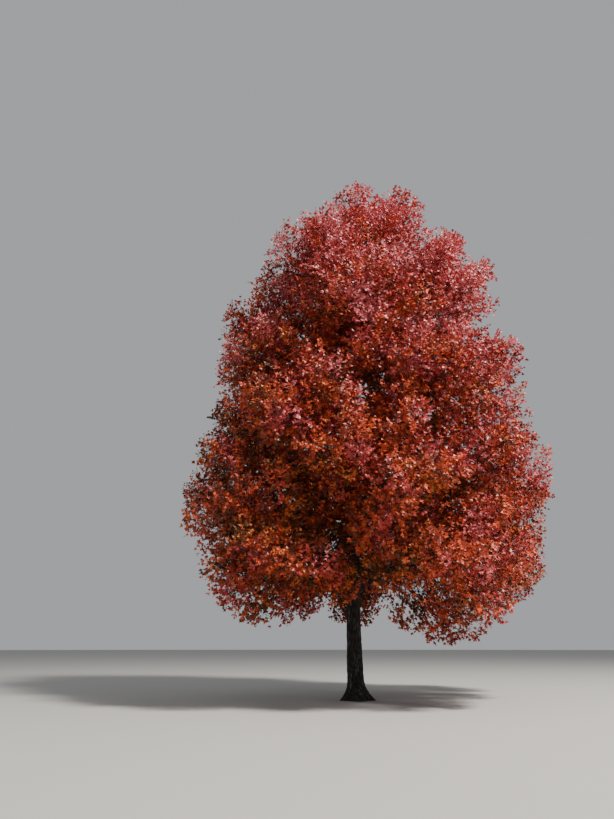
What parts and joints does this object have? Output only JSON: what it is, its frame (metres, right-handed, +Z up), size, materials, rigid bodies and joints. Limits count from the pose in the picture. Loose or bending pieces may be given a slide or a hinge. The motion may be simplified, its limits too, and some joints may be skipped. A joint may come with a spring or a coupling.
{
  "type": "red maple tree",
  "caption": "Large deciduous shade tree in red autumn leaf: a straight flared trunk, rising boughs and a dense egg-shaped crown that starts above head height.",
  "frame": {"origin": "middle of the flat cut under the trunk, at ground level", "axes": "+Z up the trunk, -Y towards the side that the picture shows, +X to the right as seen from there"},
  "size_m": [13.095, 12.7559, 19.9046],
  "materials": {
    "bark": "rough grey-brown bark in shallow plates, nearly black in shade",
    "crimson_foliage": "matt crimson autumn leaves",
    "scarlet_foliage": "matt scarlet autumn leaves",
    "russet_foliage": "matt orange-brown autumn leaves"
  },
  "bodies": {
    "root": {"bough_01": "bark", "bough_02": "bark", "bough_03": "bark", "bough_04": "bark", "bough_05": "bark", "bough_06": "bark", "bough_07": "bark", "bough_08": "bark", "bough_09": "bark", "bough_10": "bark", "bough_11": "bark", "bough_12": "bark", "bough_13": "bark", "bough_14": "bark", "bough_15": "bark", "bough_16": "bark", "bough_17": "bark", "bough_18": "bark", "bough_19": "bark", "foliage_01": "crimson_foliage", "foliage_02": "scarlet_foliage", "foliage_03": "russet_foliage", "foliage_04": "crimson_foliage", "foliage_05": "scarlet_foliage", "foliage_06": "russet_foliage", "foliage_07": "crimson_foliage", "foliage_08": "scarlet_foliage", "foliage_09": "russet_foliage", "foliage_10": "crimson_foliage", "foliage_11": "scarlet_foliage", "foliage_12": "russet_foliage", "foliage_13": "crimson_foliage", "foliage_14": "scarlet_foliage", "foliage_15": "russet_foliage", "foliage_16": "crimson_foliage", "foliage_17": "scarlet_foliage", "foliage_18": "russet_foliage", "foliage_19": "crimson_foliage", "foliage_20": "scarlet_foliage", "foliage_21": "russet_foliage", "foliage_22": "crimson_foliage", "foliage_23": "scarlet_foliage", "foliage_24": "russet_foliage", "foliage_25": "crimson_foliage", "foliage_26": "scarlet_foliage", "foliage_27": "russet_foliage", "trunk": "bark"}
  },
  "joints": []
}
